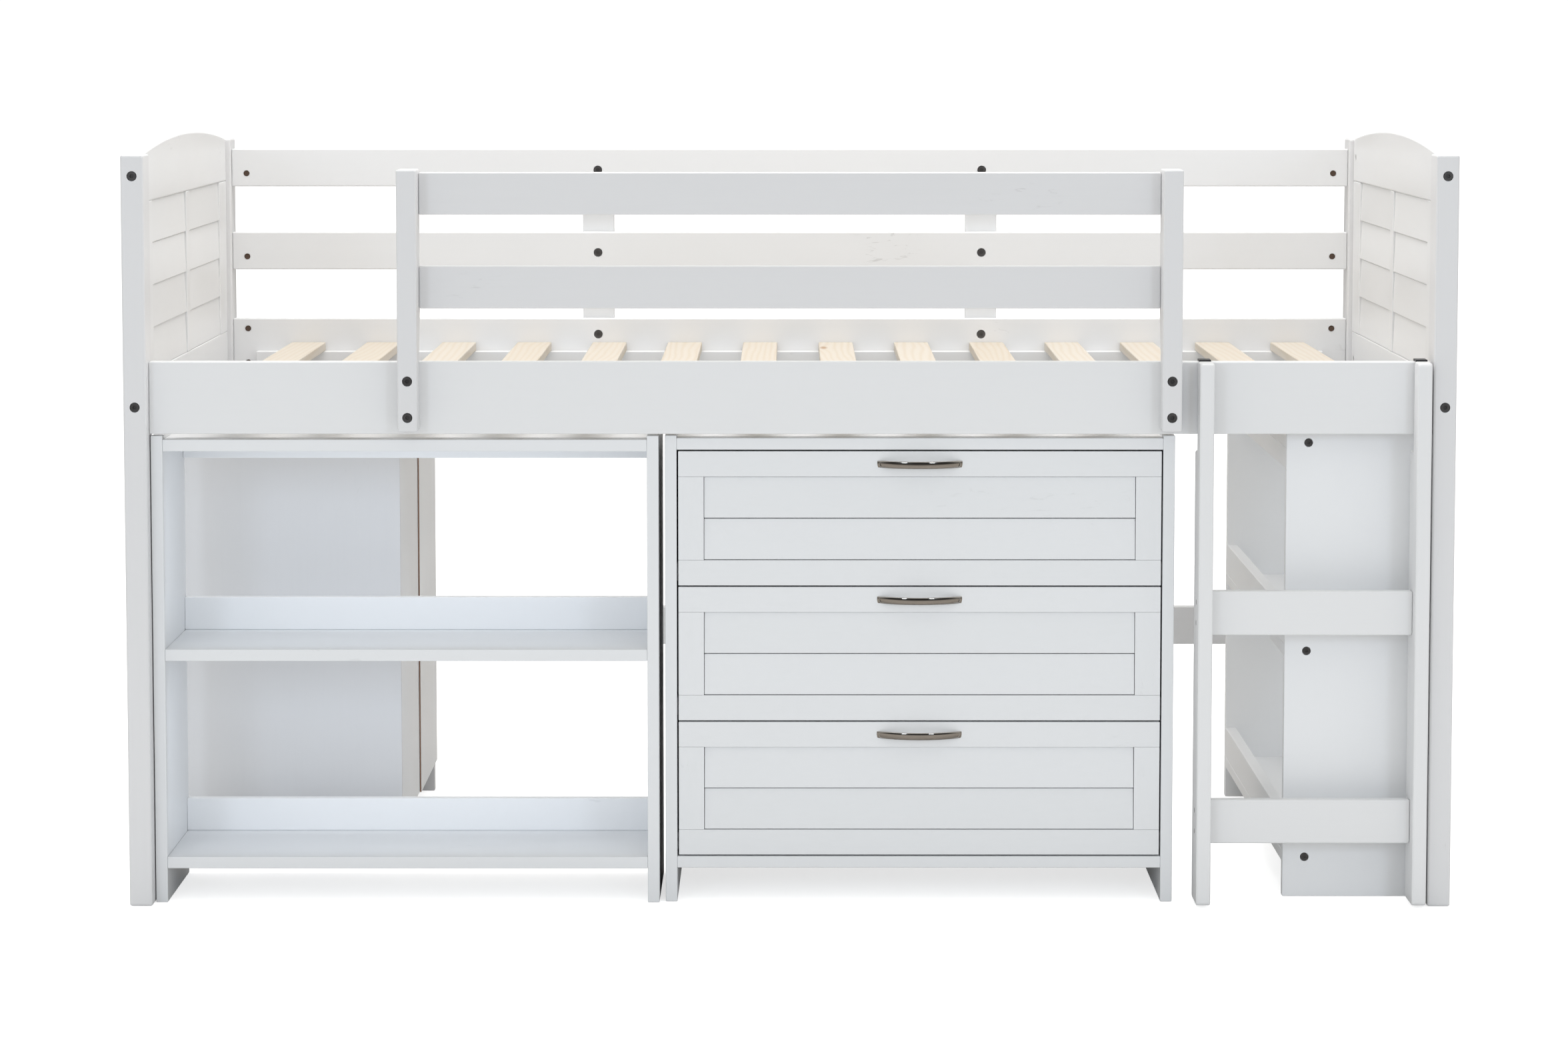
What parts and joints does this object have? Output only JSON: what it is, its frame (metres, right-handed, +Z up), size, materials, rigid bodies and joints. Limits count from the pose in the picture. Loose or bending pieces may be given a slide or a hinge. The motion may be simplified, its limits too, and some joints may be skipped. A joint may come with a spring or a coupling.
{
  "type": "loft bed with storage and pull-out desk",
  "caption": "Low loft bed with louvred arched ends, guard rail, hook-on ladder, drawer chest, open bookcases and a cabinet with a pull-out writing board.",
  "frame": {"origin": "on the floor, under the middle of the whole assembly's bounding box", "axes": "+X along the bed towards the ladder, +Y from the ladder side to the wall side, +Z up"},
  "size_m": [2.03, 1.104, 1.176],
  "materials": {
    "white_paint": "satin white lacquer on solid wood",
    "white_board": "satin white painted board",
    "bare_pine": "planed, unfinished pine",
    "drawer_birch": "clear lacquered drawer-side ply",
    "hardboard": "white faced hardboard with raw brown edges",
    "black_bolt": "black oxide",
    "black_hook": "black powder coat",
    "dowel_steel": "dull bronzed steel",
    "chrome": "polished",
    "white_steel": "white epoxy coat",
    "white_nylon": "moulded"
  },
  "bodies": {
    "bed": {"post_front_left": "white_paint", "post_front_right": "white_paint", "post_back_left": "white_paint", "post_back_right": "white_paint", "left_crest_rail": "white_paint", "right_crest_rail": "white_paint", "left_end_stiles": "white_paint", "right_end_stiles": "white_paint", "left_louvres": "white_paint", "right_louvres": "white_paint", "front_side_rail": "white_paint", "back_rails": "white_paint", "back_braces": "white_paint", "back_stretcher": "white_paint", "slat_ledgers": "white_paint", "guard_uprights": "white_paint", "guard_boards": "white_paint", "bookcase_sides": "white_board", "bookcase_shelves": "white_board", "bookcase_backstops": "white_board", "end_bookcase_sides": "white_board", "end_bookcase_shelves": "white_board", "end_bookcase_backstops": "white_board", "chest_sides": "white_board", "chest_top": "white_board", "chest_bottom": "white_board", "cabinet_sides": "white_board", "cabinet_shelves": "white_board", "bed_slats": "bare_pine", "chest_back": "hardboard", "cabinet_back": "hardboard", "bed_bolts": "black_bolt", "unit_bolts": "black_bolt", "cross_dowels": "dowel_steel", "chest_runners": "white_steel", "cabinet_runners": "white_nylon"},
    "ladder": {"ladder_legs": "white_paint", "ladder_rungs": "white_paint", "ladder_hooks": "black_hook", "ladder_screws": "black_bolt"},
    "desk": {"desk_board": "white_board", "desk_lip": "white_board"},
    "drawer_1": {"drawer_1_front": "white_board", "drawer_1_box": "drawer_birch", "drawer_1_handle": "chrome", "drawer_1_runners": "white_steel"},
    "drawer_1_rollers": {"drawer_1_rollers": "white_nylon"},
    "chest_rollers_1": {"chest_rollers_1": "white_nylon"},
    "drawer_2": {"drawer_2_front": "white_board", "drawer_2_box": "drawer_birch", "drawer_2_handle": "chrome", "drawer_2_runners": "white_steel"},
    "drawer_2_rollers": {"drawer_2_rollers": "white_nylon"},
    "chest_rollers_2": {"chest_rollers_2": "white_nylon"},
    "drawer_3": {"drawer_3_front": "white_board", "drawer_3_box": "drawer_birch", "drawer_3_handle": "chrome", "drawer_3_runners": "white_steel"},
    "drawer_3_rollers": {"drawer_3_rollers": "white_nylon"},
    "chest_rollers_3": {"chest_rollers_3": "white_nylon"}
  },
  "joints": [
    {"name": "drawer_1_slide", "type": "slide", "parent": "bed", "child": "drawer_1", "axis": [0, -1, 0], "range_m": [0, 0.26]},
    {"name": "chest_rollers_1_spin", "type": "hinge", "parent": "bed", "child": "chest_rollers_1", "pos_m": [0, -0.466, 0.5082], "axis": [1, 0, 0], "continuous": true},
    {"name": "drawer_1_rollers_spin", "type": "hinge", "parent": "drawer_1", "child": "drawer_1_rollers", "pos_m": [0, -0.147, 0.5082], "axis": [1, 0, 0], "continuous": true},
    {"name": "drawer_2_slide", "type": "slide", "parent": "bed", "child": "drawer_2", "axis": [0, -1, 0], "range_m": [0, 0.26]},
    {"name": "chest_rollers_2_spin", "type": "hinge", "parent": "bed", "child": "chest_rollers_2", "pos_m": [0, -0.466, 0.2987], "axis": [1, 0, 0], "continuous": true},
    {"name": "drawer_2_rollers_spin", "type": "hinge", "parent": "drawer_2", "child": "drawer_2_rollers", "pos_m": [0, -0.147, 0.2987], "axis": [1, 0, 0], "continuous": true},
    {"name": "drawer_3_slide", "type": "slide", "parent": "bed", "child": "drawer_3", "axis": [0, -1, 0], "range_m": [0, 0.26]},
    {"name": "chest_rollers_3_spin", "type": "hinge", "parent": "bed", "child": "chest_rollers_3", "pos_m": [0, -0.466, 0.0892], "axis": [1, 0, 0], "continuous": true},
    {"name": "drawer_3_rollers_spin", "type": "hinge", "parent": "drawer_3", "child": "drawer_3_rollers", "pos_m": [0, -0.147, 0.0892], "axis": [1, 0, 0], "continuous": true},
    {"name": "desk_slide", "type": "slide", "parent": "bed", "child": "desk", "axis": [-1, 0, 0], "range_m": [0, 0.28]},
    {"name": "ladder_lift", "type": "slide", "parent": "bed", "child": "ladder", "axis": [0, 0, 1], "range_m": [0, 0.024]}
  ],
  "couplings": [
    {"joint": "chest_rollers_1_spin", "follows": "drawer_1_slide", "rad_per_m": 111.11},
    {"joint": "drawer_1_rollers_spin", "follows": "drawer_1_slide", "rad_per_m": 111.11},
    {"joint": "chest_rollers_2_spin", "follows": "drawer_2_slide", "rad_per_m": 111.11},
    {"joint": "drawer_2_rollers_spin", "follows": "drawer_2_slide", "rad_per_m": 111.11},
    {"joint": "chest_rollers_3_spin", "follows": "drawer_3_slide", "rad_per_m": 111.11},
    {"joint": "drawer_3_rollers_spin", "follows": "drawer_3_slide", "rad_per_m": 111.11}
  ]
}
